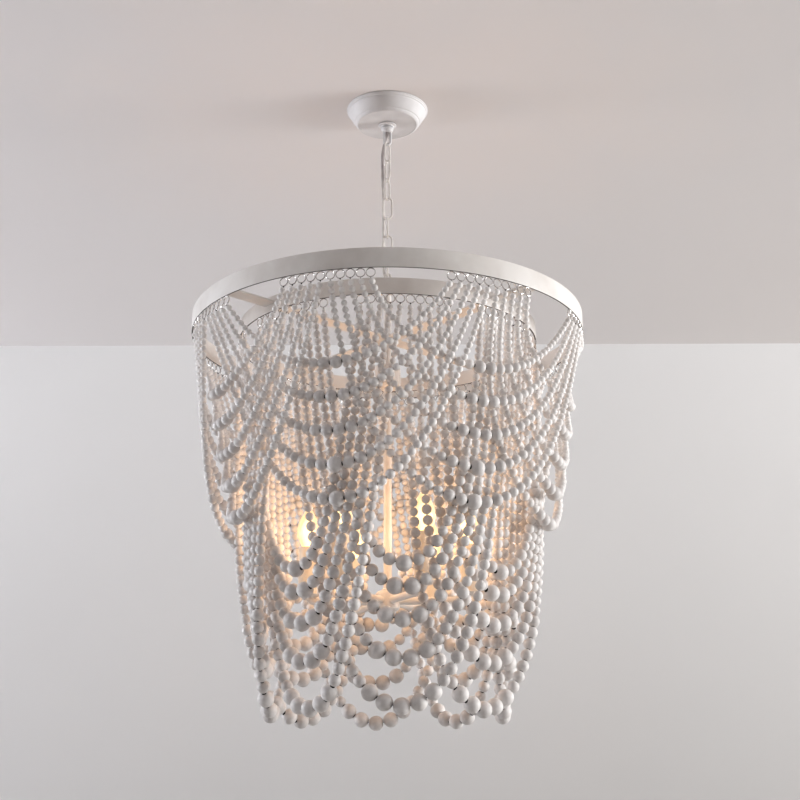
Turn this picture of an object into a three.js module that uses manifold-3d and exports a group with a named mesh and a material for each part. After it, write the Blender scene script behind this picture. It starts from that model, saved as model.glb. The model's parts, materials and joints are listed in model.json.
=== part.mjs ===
// A beaded chandelier on a short chain, in millimetres. Z is up and the origin lies on the ceiling.
// Two flat hoops carry rows of small wire rings, and nested swags of wooden beads hang from the rings.
import * as THREE from 'three';
import { mergeVertices } from 'three/addons/utils/BufferGeometryUtils.js';
import Module from 'manifold-3d';

const clearance = 0.3;
const cutOverrun = 2;
const quarterTurn = Math.PI / 2;
const halfTurn = Math.PI;
const fullTurn = 2 * Math.PI;
const degree = Math.PI / 180;
const tubeArcSteps = 4;
const plateArcSteps = 6;
const smallSides = 10;
const mediumSides = 16;

// Ceiling rose
const strapLength = 104;
const strapWidth = 22;
const strapThickness = 3;
const strapSlotLength = 16;
const strapSlotWidth = 5;
const strapSlotCentre = 34;
const nippleRadius = 5;
const tubeWall = 1.3;
const cableWay = nippleRadius - tubeWall;
const canopyRadius = 65;
const canopyHeight = 24;
const canopyWall = 1.2;
const canopyLip = 3;
const canopyGroove = 3.5;
const canopyFloorRadius = 46;
const canopyCurveShares = [{ out: 0.55, down: 0.86 }, { out: 0.92, down: 0.5 }];
const canopySides = 22;
const collarRadius = 14.5;
const collarHeight = 6;

// Cast loops at both ends of the chain
const shankRadius = 8;
const shankLength = 17;
const socketDepth = 7;
const neckRadius = 10;
const neckHeight = 8;
const loopWidth = 14;
const loopHeight = 28;
const loopWire = 3.8;
const loopSink = 3;
const loopSteps = 12;
const wireSides = 6;
const nippleLength = canopyHeight + collarHeight + clearance - shankLength + socketDepth;

// Chain of oval links, each turned a little about the upright as it hangs in the photograph
const linkLength = 39;
const linkWidth = 17.5;
const linkWire = 3;
const linkSteps = 10;
const linkTurns = [60, 117, 63, 0, 90, 0, 90].map((turn) => turn * degree);

// Supply cable beside the chain
const cableRadius = 2.5;
const cableSteps = 28;

// Frame: a tube stem, four flat spokes, two hoops and a round wiring cup
const stemRadius = 6;
const stemSpigot = 6;
const stemAboveSpokes = 70.6;
const spokeWidth = 25;
const spokeThickness = 3;
const spokeTurn = -47 * degree;
const spokeHubRadius = 22;
const spokeCount = 4;
const outerHoopRadius = 300;
const outerHoopHeight = 29;
const outerHoopRise = 24.5;
const innerHoopShare = 0.7633;
const innerHoopRadius = outerHoopRadius * innerHoopShare;
const innerHoopHeight = 24;
const innerHoopRise = 9.5;
const hoopWall = 2.5;
const outerHoopSides = 64;
const innerHoopSides = 48;
const cupRadius = 20;
const cupHeight = 36;
const cupDrop = 44.5;
const cupEdge = 3;

// Lamp cluster at the foot of the stem
const armCount = 6;
const armTurn = 26 * degree;
const armReach = 118;
const armRadius = 5.5;
const armBend = 14;
const armSteps = 8;
const hubRadius = 18;
const hubHeight = 28;
const hubDrop = 392.5;
const hubEdge = 3;
const capRadius = 13;
const capHeight = 9;
const capShares = [{ out: 0.25, down: 1 }, { out: 0.35, down: 0.5 }, { out: 1, down: 0.25 }];
const panRadius = 18;
const panHeight = 5;
const panRise = 11;
const sleeveRadius = 14;
const sleeveWall = 1.5;
const sleeveHeight = 70;
const holderPlay = 1;
const holderRadius = sleeveRadius - sleeveWall - holderPlay;
const holderDrop = 6;
const holderSocket = 24;
const bulbBaseRadius = 6.6;
const bulbRadius = 17.5;
const bulbHeight = 68;
const bulbShares = [
  { out: 0.6, up: 0.08 },
  { out: 1, up: 0.35 },
  { out: 0.8, up: 0.6 },
  { out: 0.35, up: 0.85 },
  { out: 0, up: 1 },
];

// Rings and swags. Rings sit side by side in rows of five, two rows to a group.
const ringShare = 0.046;
const ringDiameter = outerHoopRadius * ringShare;
const ringWire = 1.5;
const ringCorners = 6;
const ringsInRow = 5;
const swagCount = 8;
const swagSpacing = fullTurn / swagCount;
// Beads from the middle of a strand outwards: how far across in shares of a ring, and how many on each
// side in each of the five strands. Half a bead is one that both sides share. The rest are small beads.
const outerBeads = [
  { acrossShare: 0.8, each: [0, 0, 0, 0.5, 0.5] },
  { acrossShare: 0.625, each: [1, 1.5, 2, 2, 2] },
  { acrossShare: 0.505, each: [3, 3, 3, 4, 5] },
  { acrossShare: 0.43, each: [1, 2, 3, 4, 5] },
  { acrossShare: 0.375, each: [5, 5, 5, 5, 5] },
];
const innerBeads = [
  { acrossShare: 0.85, each: [0.5, 1, 1.5, 2, 2.5] },
  { acrossShare: 0.625, each: [3, 3, 4, 5, 7] },
  { acrossShare: 0.525, each: [8, 8, 8, 8, 8] },
  { acrossShare: 0.45, each: [8, 8, 8, 8, 8] },
  { acrossShare: 0.38, each: [10, 10, 10, 10, 10] },
];
const smallBeadShare = 0.66;
const smallBead = ringDiameter * smallBeadShare;

// Levels from the ceiling down. A loop fitting is measured from the centre of its loop's bottom bar.
const loopBar = loopHeight - loopWire;
const neckBottom = loopBar + loopWire / 2 - loopSink;
const neckTop = neckBottom + neckHeight;
const upperNeckTop = -canopyHeight - collarHeight - 2 * clearance;
const upperLoopBar = upperNeckTop - neckTop;
const linkBars = linkLength - linkWire;
const linkPitch = linkBars - linkWire - clearance;
const loopToLink = (loopWire + linkWire) / 2 + clearance;
const firstLinkBar = upperLoopBar + loopToLink;
const lastLinkBar = firstLinkBar - (linkTurns.length - 1) * linkPitch - linkBars;
const lowerLoopBar = lastLinkBar + loopToLink;
const lowerNeckTop = lowerLoopBar - neckTop;
const stemTop = lowerNeckTop - stemSpigot - clearance;
const spokeTop = stemTop - stemAboveSpokes;
const outerHoopTop = spokeTop + outerHoopRise;
const innerHoopTop = spokeTop + innerHoopRise;
const cupTop = spokeTop - cupDrop;
const hubTop = spokeTop - hubDrop;
const hubBottom = hubTop - hubHeight;
const panTop = hubBottom + hubHeight / 2 + panRise;
const holderTop = panTop + sleeveHeight - holderDrop;

// How each tier hangs, in shares of its hoop's diameter. The leans move a strand out of its upright
// plane, by a step more for each strand below the first.
const outerSwags = {
  radius: outerHoopRadius,
  beads: outerBeads,
  top: outerHoopTop - outerHoopHeight,
  firstTurn: -15.7 * degree,
  sagShares: { first: 0.1817, step: 0.0742, growth: 0 },
  middleShares: { first: 0.0418, step: -0.0005 },
  crossShares: { first: 0.0138, step: 0.00492 },
  waistShares: { first: -0.0075, step: -0.00133 },
  stationShares: [0.58, 0.24],
};
const innerSwags = {
  radius: innerHoopRadius,
  beads: innerBeads,
  top: innerHoopTop - innerHoopHeight,
  firstTurn: 6.8 * degree,
  sagShares: { first: 0.7795, step: 0.0677, growth: 0.0218 },
  middleShares: { first: 0.0015, step: -0.0001 },
  crossShares: { first: 0.0205, step: 0.0082 },
  waistShares: { first: 0.0014, step: -0.0006 },
  stationShares: [0.5, 0.2, 0.07],
};

const wasm = await Module();
wasm.setup();

const finish = {
  whitePaint: { color: 0xe9e7e4, roughness: 0.45, metalness: 0.1 },
  zinc: { color: 0xb9bbb8, roughness: 0.4, metalness: 0.8 },
  cable: { color: 0xd8d5cf, roughness: 0.5, metalness: 0 },
  sleeve: { color: 0xf0ece4, roughness: 0.6, metalness: 0 },
  bulb: { color: 0xffe2b8, roughness: 0.1, metalness: 0 },
  bead: { color: 0xcfc9c6, roughness: 0.75, metalness: 0 },
};

const chandelier = new THREE.Group();

function addPiece(name, geometry, look, parent = chandelier) {
  const piece = new THREE.Mesh(geometry, new THREE.MeshStandardMaterial(look));
  piece.name = name;
  parent.add(piece);
  return piece;
}

// A closed mesh as a solid that can be joined or cut.
function solid(geometry) {
  const bare = geometry.clone();
  bare.deleteAttribute('normal');
  bare.deleteAttribute('uv');
  const merged = mergeVertices(bare);
  const vertProperties = merged.attributes.position.array;
  const triVerts = new Uint32Array(merged.index.array);
  return new wasm.Manifold(new wasm.Mesh({ numProp: 3, vertProperties, triVerts }));
}

function geometryOf(made) {
  const mesh = made.getMesh();
  const geometry = new THREE.BufferGeometry();
  geometry.setAttribute('position', new THREE.BufferAttribute(mesh.vertProperties, 3));
  geometry.setIndex(new THREE.BufferAttribute(mesh.triVerts, 1));
  const faceted = geometry.toNonIndexed();
  faceted.computeVertexNormals();
  return faceted;
}

// A profile of [radius, height] pairs turned about the upright axis.
function turned(profile, sides) {
  const points = profile.map(([radius, height]) => new THREE.Vector2(radius, height));
  const geometry = new THREE.LatheGeometry(points, sides);
  geometry.rotateX(quarterTurn);
  return geometry;
}

// An upright cylinder between two heights, for cutting or joining.
function post(radius, low, high, sides) {
  const geometry = new THREE.CylinderGeometry(radius, radius, high - low, sides);
  geometry.rotateX(quarterTurn);
  geometry.translate(0, 0, (low + high) / 2);
  return geometry;
}

// A flat outline given height, its top face at the given level.
function plate(shape, thickness, top) {
  const settings = { depth: thickness, bevelEnabled: false, curveSegments: plateArcSteps };
  const geometry = new THREE.ExtrudeGeometry(shape, settings);
  geometry.translate(0, 0, top - thickness);
  return geometry;
}

// An upright oval of round wire: a ring whose upper and lower halves are drawn apart.
function ovalWire(length, width, wire, wireSides, steps) {
  const bendRadius = (width - wire) / 2;
  const geometry = new THREE.TorusGeometry(bendRadius, wire / 2, wireSides, steps);
  geometry.rotateZ(halfTurn / steps);
  const position = geometry.attributes.position;
  const straight = length - width;
  for (let i = 0; i < position.count; i += 1) {
    const side = Math.sign(position.getY(i));
    position.setY(i, position.getY(i) + side * straight / 2);
  }
  geometry.rotateX(quarterTurn);
  return geometry;
}

function addCeilingRose() {
  const strap = new THREE.Shape();
  strap.moveTo(-strapLength / 2, -strapWidth / 2);
  strap.lineTo(strapLength / 2, -strapWidth / 2);
  strap.lineTo(strapLength / 2, strapWidth / 2);
  strap.lineTo(-strapLength / 2, strapWidth / 2);
  const centreHole = new THREE.Path();
  centreHole.absarc(0, 0, nippleRadius + clearance, 0, fullTurn, true);
  strap.holes.push(centreHole);
  for (const side of [-1, 1]) {
    const slot = new THREE.Path();
    const straight = (strapSlotLength - strapSlotWidth) / 2;
    const centre = side * strapSlotCentre;
    slot.absarc(centre + straight, 0, strapSlotWidth / 2, quarterTurn, -quarterTurn, true);
    slot.absarc(centre - straight, 0, strapSlotWidth / 2, -quarterTurn, -3 * quarterTurn, true);
    strap.holes.push(slot);
  }
  addPiece('ceiling_strap', plate(strap, strapThickness, 0), finish.zinc);

  const nipple = turned([
    [cableWay, 0],
    [cableWay, -nippleLength],
    [nippleRadius, -nippleLength],
    [nippleRadius, 0],
    [cableWay, 0],
  ], smallSides);
  addPiece('threaded_nipple', nipple, finish.zinc);

  const holeRadius = shankRadius + clearance;
  const shoulder = canopyRadius - canopyGroove;
  const curve = canopyCurveShares.map((share) => [
    canopyFloorRadius + (shoulder - canopyFloorRadius) * share.out,
    -canopyHeight * share.down,
  ]);
  const insideCurve = curve.map(([radius, level]) => [radius - canopyWall, level + canopyWall]).reverse();
  const canopy = turned([
    [holeRadius, -canopyHeight],
    [canopyFloorRadius, -canopyHeight],
    ...curve,
    [shoulder, -canopyLip - canopyGroove],
    [shoulder, -canopyLip - canopyWall],
    [canopyRadius, -canopyLip],
    [canopyRadius, 0],
    [canopyRadius - canopyWall, 0],
    [canopyRadius - canopyWall, -canopyLip + canopyWall],
    [shoulder - canopyWall, -canopyLip],
    [shoulder - canopyWall, -canopyLip - canopyGroove],
    ...insideCurve,
    [canopyFloorRadius - canopyWall, -canopyHeight + canopyWall],
    [holeRadius, -canopyHeight + canopyWall],
    [holeRadius, -canopyHeight],
  ], canopySides);
  addPiece('canopy', canopy, finish.whitePaint);

  const collarTop = -canopyHeight - clearance;
  const collar = turned([
    [holeRadius, collarTop - collarHeight],
    [collarRadius - collarHeight / 2, collarTop - collarHeight],
    [collarRadius, collarTop - collarHeight / 2],
    [collarRadius, collarTop],
    [holeRadius, collarTop],
    [holeRadius, collarTop - collarHeight],
  ], mediumSides);
  addPiece('screw_collar', collar, finish.whitePaint);
}

// A bell neck with an oval loop under it. The socket in its top takes a threaded tube of the given radius.
// Its origin is the centre of the loop's bottom bar.
function loopFitting(upperLength) {
  const top = neckTop + upperLength;
  const bell = [
    [0, neckBottom],
    [shankRadius, neckBottom],
    [neckRadius, neckTop - neckHeight / 4],
    [neckRadius, neckTop],
  ];
  if (upperLength > 0) {
    bell.push([shankRadius, neckTop], [shankRadius, top]);
  }
  bell.push([0, top]);
  const oval = ovalWire(loopHeight, loopWidth, loopWire, wireSides, loopSteps);
  oval.translate(0, 0, (loopHeight - loopWire) / 2);
  const socket = post(nippleRadius + clearance, top - socketDepth, top + cutOverrun, smallSides);
  const bore = post(cableWay, loopBar - loopWire, top, smallSides);
  const body = solid(turned(bell, smallSides)).add(solid(oval));
  return geometryOf(body.subtract(solid(socket)).subtract(solid(bore)));
}

function addChain() {
  const upper = addPiece('canopy_loop', loopFitting(shankLength), finish.whitePaint);
  upper.position.z = upperLoopBar;
  const link = ovalWire(linkLength, linkWidth, linkWire, wireSides, linkSteps);
  linkTurns.forEach((turn, index) => {
    const piece = addPiece(`chain_link_${index + 1}`, link, finish.whitePaint);
    piece.position.z = firstLinkBar - index * linkPitch - linkBars / 2;
    piece.rotation.z = turn;
  });
  const lower = addPiece('stem_loop', loopFitting(stemSpigot), finish.whitePaint);
  lower.position.z = lowerLoopBar;
  lower.rotation.x = halfTurn;
}

// The cable leaves the upper neck, bows out beside the links and goes back in at the lower neck. Each
// row is right, back and up. Up is from the upper loop's bar, then a share of the chain, then from the
// lower loop's bar.
const cableLeaves = [
  [0, 0, 49.7],
  [0, 0, 27.7],
  [-0.2, 0.5, 20.7],
  [-1.5, 4.6, 13.7],
  [-5, 8.6, 3.7],
];
const cableBesideShares = [
  [-8, 9.2, 0.064],
  [-8, 8.8, 0.215],
  [-7, 7.4, 0.393],
  [-6.2, 6.6, 0.571],
  [-6.2, 6.2, 0.749],
  [-6.4, 6.8, 0.891],
];
const cableReturns = [
  [-5.6, 8.6, 4.5],
  [-3.8, 7.6, -5.5],
  [-1.5, 4.2, -13.5],
  [-0.2, 0.5, -20.5],
  [0, 0, -26.5],
  [0, 0, -47.5],
];

function addCable() {
  const chainLength = upperLoopBar - lowerLoopBar;
  const points = [
    ...cableLeaves.map(([x, y, up]) => new THREE.Vector3(x, y, upperLoopBar + up)),
    ...cableBesideShares.map(([x, y, share]) => new THREE.Vector3(x, y, upperLoopBar - chainLength * share)),
    ...cableReturns.map(([x, y, up]) => new THREE.Vector3(x, y, lowerLoopBar + up)),
  ];
  const route = new THREE.CatmullRomCurve3(points);
  const section = new THREE.Shape();
  section.absarc(0, 0, cableRadius, 0, fullTurn, false);
  const settings = { steps: cableSteps, curveSegments: tubeArcSteps, extrudePath: route };
  const cable = new THREE.ExtrudeGeometry(section, settings);
  addPiece('supply_cable', cable, finish.cable);
}

function addFrame() {
  const stem = turned([
    [cableWay, hubTop + clearance],
    [stemRadius, hubTop + clearance],
    [stemRadius, stemTop],
    [nippleRadius, stemTop],
    [nippleRadius, stemTop + stemSpigot],
    [cableWay, stemTop + stemSpigot],
    [cableWay, hubTop + clearance],
  ], smallSides);
  addPiece('stem', stem, finish.whitePaint);

  const cross = new THREE.Shape();
  const meetAngle = Math.asin(spokeWidth / 2 / spokeHubRadius);
  const reach = (outerHoopRadius - hoopWall) * Math.cos(halfTurn / outerHoopSides) - clearance;
  for (let k = 0; k < spokeCount; k += 1) {
    const along = k * fullTurn / spokeCount;
    const tip = new THREE.Vector2(reach, -spokeWidth / 2).rotateAround(new THREE.Vector2(), along);
    const farTip = new THREE.Vector2(reach, spokeWidth / 2).rotateAround(new THREE.Vector2(), along);
    if (k === 0) {
      cross.moveTo(tip.x, tip.y);
    } else {
      cross.lineTo(tip.x, tip.y);
    }
    cross.lineTo(farTip.x, farTip.y);
    const nextAlong = along + fullTurn / spokeCount;
    cross.absarc(0, 0, spokeHubRadius, along + meetAngle, nextAlong - meetAngle, false);
  }
  const stemHole = new THREE.Path();
  stemHole.absarc(0, 0, stemRadius + clearance, 0, fullTurn, true);
  cross.holes.push(stemHole);
  const spokes = addPiece('spoke_frame', plate(cross, spokeThickness, spokeTop), finish.whitePaint);
  spokes.rotation.z = spokeTurn - quarterTurn;

  const outerBand = band(outerHoopRadius, outerHoopTop, outerHoopHeight, outerHoopSides);
  addPiece('outer_hoop', outerBand, finish.whitePaint);

  let innerBand = solid(band(innerHoopRadius, innerHoopTop, innerHoopHeight, innerHoopSides));
  for (let k = 0; k < spokeCount / 2; k += 1) {
    const slotWidth = spokeWidth + 2 * clearance;
    const slotHeight = spokeThickness + 2 * clearance;
    const slot = new THREE.BoxGeometry(2 * innerHoopRadius + cutOverrun, slotWidth, slotHeight);
    slot.rotateZ(spokeTurn - quarterTurn + k * quarterTurn);
    slot.translate(0, 0, spokeTop - spokeThickness / 2);
    innerBand = innerBand.subtract(solid(slot));
  }
  addPiece('inner_hoop', geometryOf(innerBand), finish.whitePaint);

  const cupHole = stemRadius + clearance;
  const cup = turned([
    [cupHole, cupTop - cupHeight],
    [cupRadius - cupEdge, cupTop - cupHeight],
    [cupRadius, cupTop - cupHeight + cupEdge],
    [cupRadius, cupTop - cupEdge],
    [cupRadius - cupEdge, cupTop],
    [cupHole, cupTop],
    [cupHole, cupTop - cupHeight],
  ], mediumSides);
  addPiece('wiring_cup', cup, finish.whitePaint);
}

function band(radius, top, height, sides) {
  return turned([
    [radius - hoopWall, top - height],
    [radius, top - height],
    [radius, top],
    [radius - hoopWall, top],
    [radius - hoopWall, top - height],
  ], sides);
}

function addLamps() {
  const hubSides = 2 * armCount;
  const hub = turned([
    [0, hubBottom],
    [hubRadius - hubEdge, hubBottom],
    [hubRadius, hubBottom + hubEdge],
    [hubRadius, hubTop - hubEdge],
    [hubRadius - hubEdge, hubTop],
    [0, hubTop],
  ], hubSides);
  const hubPiece = addPiece('lamp_hub', hub, finish.whitePaint);
  hubPiece.rotation.z = armTurn + halfTurn / hubSides;

  const capTop = hubBottom - clearance;
  const capCurve = capShares.map((share) => [capRadius * share.out, capTop - capHeight * share.down]);
  const cap = turned([[0, capTop - capHeight], ...capCurve, [capRadius, capTop], [0, capTop]], smallSides);
  addPiece('hub_cap', cap, finish.whitePaint);

  const armStart = hubRadius * Math.cos(halfTurn / hubSides) + clearance;
  const armLevel = hubBottom + hubHeight / 2;
  const bulbLow = holderTop - holderSocket + clearance;

  const path = new THREE.CurvePath();
  const corner = new THREE.Vector3(0, -armReach, armLevel);
  const bendStart = new THREE.Vector3(0, -armReach + armBend, armLevel);
  const bendEnd = new THREE.Vector3(0, -armReach, panTop - panHeight);
  path.add(new THREE.LineCurve3(new THREE.Vector3(0, -armStart, armLevel), bendStart));
  path.add(new THREE.QuadraticBezierCurve3(bendStart, corner, bendEnd));
  const section = new THREE.Shape();
  section.absarc(0, 0, armRadius, 0, fullTurn, false);
  const settings = { steps: armSteps, curveSegments: tubeArcSteps, extrudePath: path };
  const tube = new THREE.ExtrudeGeometry(section, settings);
  const pan = turned([
    [0, panTop - panHeight],
    [armRadius, panTop - panHeight],
    [panRadius, panTop - panHeight / 3],
    [panRadius, panTop],
    [holderRadius, panTop],
    [holderRadius, holderTop],
    [bulbBaseRadius + clearance, holderTop],
    [bulbBaseRadius + clearance, holderTop - holderSocket],
    [0, holderTop - holderSocket],
  ], smallSides);
  pan.translate(0, -armReach, 0);
  const arm = geometryOf(solid(tube).add(solid(pan)));

  const sleeveLow = panTop + clearance;
  const sleeve = turned([
    [sleeveRadius - sleeveWall, sleeveLow],
    [sleeveRadius, sleeveLow],
    [sleeveRadius, panTop + sleeveHeight],
    [sleeveRadius - sleeveWall, panTop + sleeveHeight],
    [sleeveRadius - sleeveWall, sleeveLow],
  ], smallSides);
  sleeve.translate(0, -armReach, 0);

  const glassLow = holderTop + clearance;
  const glass = bulbShares.map((share) => [bulbRadius * share.out, glassLow + bulbHeight * share.up]);
  const bulb = turned([
    [0, bulbLow],
    [bulbBaseRadius, bulbLow],
    [bulbBaseRadius, glassLow],
    ...glass,
  ], smallSides);
  bulb.translate(0, -armReach, 0);

  for (let k = 0; k < armCount; k += 1) {
    const lamp = new THREE.Group();
    lamp.rotation.z = armTurn + k * fullTurn / armCount;
    chandelier.add(lamp);
    addPiece(`lamp_arm_${k + 1}`, arm, finish.whitePaint, lamp);
    addPiece(`candle_sleeve_${k + 1}`, sleeve, finish.sleeve, lamp);
    addPiece(`bulb_${k + 1}`, bulb, finish.bulb, lamp);
  }
}

// Half the thickness of a strand at a distance along it from its middle: the radius of the bead there.
function beadRadius(beads, index, distance) {
  let reach = 0;
  for (const bead of beads) {
    const radius = ringDiameter * bead.acrossShare;
    reach += 2 * radius * bead.each[index];
    if (distance < reach) {
      return radius;
    }
  }
  return smallBead / 2;
}

// The number that gives a hanging chain its ratio of sag to half the span.
function chainNumber(ratio) {
  let low = 0.001;
  let high = 10;
  for (let pass = 0; pass < 50; pass += 1) {
    const middle = (low + high) / 2;
    if ((Math.cosh(middle) - 1) / middle < ratio) {
      low = middle;
    } else {
      high = middle;
    }
  }
  return low;
}

// One strand of a swag: a hanging chain between two rings in an upright plane. It leans out of that plane
// where it crosses the strands of the next swag, its right half in front and its left half behind.
// along runs from -1 at the left ring to 1 at the right ring, in equal lengths of strand.
function hangingStrand(swags, index, halfAngle, start) {
  const ringRadius = swags.radius - hoopWall / 2;
  const halfSpan = ringRadius * Math.sin(halfAngle);
  const distance = ringRadius * Math.cos(halfAngle);
  const hoopWidth = 2 * swags.radius;
  const lengthOf = (shares) => hoopWidth * (shares.first + shares.step * index);
  const growth = hoopWidth * swags.sagShares.growth * index * (index - 1) / 2;
  const sag = lengthOf(swags.sagShares) + growth;
  const number = chainNumber(sag / halfSpan);
  const middleLean = lengthOf(swags.middleShares);
  const crossLean = lengthOf(swags.crossShares);
  const waistLean = lengthOf(swags.waistShares);
  const halfLength = halfSpan * Math.sinh(number) / number;
  const crossPeak = 27 / 4;
  function pointAt(along) {
    const across = Math.asinh(along * Math.sinh(number)) / number;
    const out = Math.abs(across);
    const inside = 1 - out * out;
    const lean = middleLean * inside * inside
      + crossLean * crossPeak * Math.sign(across) * out * out * (1 - out)
      + waistLean * 4 * out * out * inside;
    const drop = sag * (Math.cosh(number) - Math.cosh(number * across)) / (Math.cosh(number) - 1);
    return new THREE.Vector3(halfSpan * across, -distance - lean, start - drop);
  }
  return { pointAt, halfLength };
}

// A swag as one closed surface: a row of wire rings at each end, their touching sides shared,
// and five strands that grow from the lower halves of the rings.
function swagGeometry(swags) {
  const positions = [];
  const ringRadius = swags.radius - hoopWall / 2;
  const pitch = ringDiameter / ringRadius;
  const half = ringDiameter / 2;
  const level = swags.top - clearance - half;
  const innerShare = (ringDiameter - 2 * ringWire) / ringDiameter;

  function face(...corners) {
    for (let i = 2; i < corners.length; i += 1) {
      for (const corner of [corners[0], corners[i - 1], corners[i]]) {
        positions.push(corner.x, corner.y, corner.z);
      }
    }
  }

  function onHoop(turn, radius, height) {
    return new THREE.Vector3(Math.sin(turn) * radius, -Math.cos(turn) * radius, height);
  }

  // A ring is a six-sided loop of three-sided wire, with upright sides where it meets its neighbours.
  function ring(turn, joinsLeft, joinsRight) {
    const corners = [];
    for (let k = 0; k < ringCorners; k += 1) {
      const angle = quarterTurn + k * fullTurn / ringCorners;
      const across = half * Math.cos(angle) / Math.cos(halfTurn / ringCorners);
      const up = half * Math.sin(angle);
      const atTurn = turn + across / ringRadius;
      const innerTurn = turn + across * innerShare / ringRadius;
      corners.push({
        inner: onHoop(innerTurn, ringRadius, level + up * innerShare),
        front: onHoop(atTurn, ringRadius + ringWire / 2, level + up),
        back: onHoop(atTurn, ringRadius - ringWire / 2, level + up),
      });
    }
    for (let k = 0; k < ringCorners; k += 1) {
      const a = corners[k];
      const b = corners[(k + 1) % ringCorners];
      face(a.front, b.front, b.inner, a.inner);
      face(a.back, a.inner, b.inner, b.back);
      const shared = (k === 1 && joinsLeft) || (k === 4 && joinsRight);
      const carriesStrand = k === 2 || k === 3;
      if (!shared && !carriesStrand) {
        face(a.front, a.back, b.back, b.front);
      }
    }
    return { left: corners[2], bottom: corners[3], right: corners[4] };
  }

  // The first loop of the strand, seen from outside: its left, front, right and back corners.
  function joinToRing(hook, loop) {
    face(hook.left.front, loop.left, loop.front);
    face(hook.left.front, loop.front, hook.bottom.front);
    face(hook.bottom.front, loop.front, loop.right);
    face(hook.bottom.front, loop.right, hook.right.front);
    face(hook.left.front, hook.left.back, loop.left);
    face(hook.right.front, loop.right, hook.right.back);
    face(hook.left.back, hook.bottom.back, loop.back);
    face(hook.left.back, loop.back, loop.left);
    face(hook.bottom.back, hook.right.back, loop.right);
    face(hook.bottom.back, loop.right, loop.back);
  }

  function strandLoop(strand, index, along) {
    const step = 0.001;
    const centre = strand.pointAt(along);
    const tangent = strand.pointAt(along + step).sub(strand.pointAt(along - step)).normalize();
    const outward = new THREE.Vector3(0, -1, 0);
    outward.addScaledVector(tangent, -outward.dot(tangent)).normalize();
    const side = new THREE.Vector3().crossVectors(tangent, outward);
    const radius = beadRadius(swags.beads, index, Math.abs(along) * strand.halfLength);
    return [
      centre.clone().addScaledVector(side, radius),
      centre.clone().addScaledVector(outward, radius),
      centre.clone().addScaledVector(side, -radius),
      centre.clone().addScaledVector(outward, -radius),
    ];
  }

  for (let index = 0; index < ringsInRow; index += 1) {
    const fromGroup = (ringsInRow - index - 0.5) * pitch + clearance / 2 / ringRadius;
    const halfAngle = swagSpacing - fromGroup;
    const strand = hangingStrand(swags, index, halfAngle, level - half);
    const rightSide = [1 - smallBead / strand.halfLength, ...swags.stationShares];
    const stations = [...rightSide.map((share) => -share), 0, ...rightSide.reverse()];
    const loops = stations.map((along) => strandLoop(strand, index, along));
    const outermost = index === ringsInRow - 1;
    const innermost = index === 0;
    const leftHook = ring(-halfAngle, !outermost, !innermost);
    const rightHook = ring(halfAngle, !innermost, !outermost);
    const [left, front, right, back] = loops[0];
    joinToRing(leftHook, { left, front, right, back });
    for (let j = 1; j < loops.length; j += 1) {
      for (let k = 0; k < 4; k += 1) {
        const next = (k + 1) % 4;
        face(loops[j - 1][k], loops[j][k], loops[j][next], loops[j - 1][next]);
      }
    }
    const last = loops[loops.length - 1];
    joinToRing(rightHook, { left: last[2], front: last[1], right: last[0], back: last[3] });
  }

  const geometry = new THREE.BufferGeometry();
  geometry.setAttribute('position', new THREE.Float32BufferAttribute(positions, 3));
  geometry.computeVertexNormals();
  return geometry;
}

function addSwags(label, swags) {
  const geometry = swagGeometry(swags);
  for (let k = 0; k < swagCount; k += 1) {
    const swag = addPiece(`${label}_swag_${k + 1}`, geometry, finish.bead);
    swag.rotation.z = swags.firstTurn + k * swagSpacing;
  }
}

addCeilingRose();
addChain();
addCable();
addFrame();
addLamps();
addSwags('outer', outerSwags);
addSwags('inner', innerSwags);

export default chandelier;
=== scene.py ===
"""A beaded chandelier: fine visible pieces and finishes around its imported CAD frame."""
import json
import math

import bpy
import numpy as np
from mathutils import Euler, Matrix, Vector


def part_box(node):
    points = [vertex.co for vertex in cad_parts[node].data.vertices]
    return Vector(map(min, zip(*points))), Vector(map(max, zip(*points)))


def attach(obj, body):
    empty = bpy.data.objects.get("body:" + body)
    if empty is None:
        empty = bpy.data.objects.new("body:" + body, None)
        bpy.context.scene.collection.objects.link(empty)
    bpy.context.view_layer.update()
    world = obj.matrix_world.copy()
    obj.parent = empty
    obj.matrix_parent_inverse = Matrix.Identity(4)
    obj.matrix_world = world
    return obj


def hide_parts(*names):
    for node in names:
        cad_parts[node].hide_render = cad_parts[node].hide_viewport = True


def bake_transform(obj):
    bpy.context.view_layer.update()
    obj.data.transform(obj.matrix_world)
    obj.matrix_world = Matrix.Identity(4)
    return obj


MM = 0.001
FULL_TURN = 2 * math.pi
# The gap between two pieces that touch
TOUCHING = 0.3 * MM
# Points closer than this are one point
SAME_PLACE = 1e-6
# Edges sharper than this stay sharp in the shading
SHARP_EDGE = math.radians(38)
# A rounded corner takes at most this share of each of its sides
CORNER_SHARE = 0.45
# A direction that no bar's route starts in, from which its section is turned
ODD_WAY = (0.31, 0.17, 0.93)

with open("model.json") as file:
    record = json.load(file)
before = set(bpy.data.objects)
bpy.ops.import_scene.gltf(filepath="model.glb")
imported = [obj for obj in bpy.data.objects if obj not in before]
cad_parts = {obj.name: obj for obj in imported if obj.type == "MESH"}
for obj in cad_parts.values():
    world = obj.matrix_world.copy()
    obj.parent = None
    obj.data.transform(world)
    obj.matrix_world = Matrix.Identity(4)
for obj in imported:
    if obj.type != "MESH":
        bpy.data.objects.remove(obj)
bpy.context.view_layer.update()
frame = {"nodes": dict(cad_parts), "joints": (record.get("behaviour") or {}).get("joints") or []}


# The camera

CAMERA_PLACE = (0.019, -2.0, -1.105)
CAMERA_PITCH = math.radians(107)
CAMERA_ROLL = math.radians(-0.2)
CAMERA_LENS = 61.65


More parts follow.
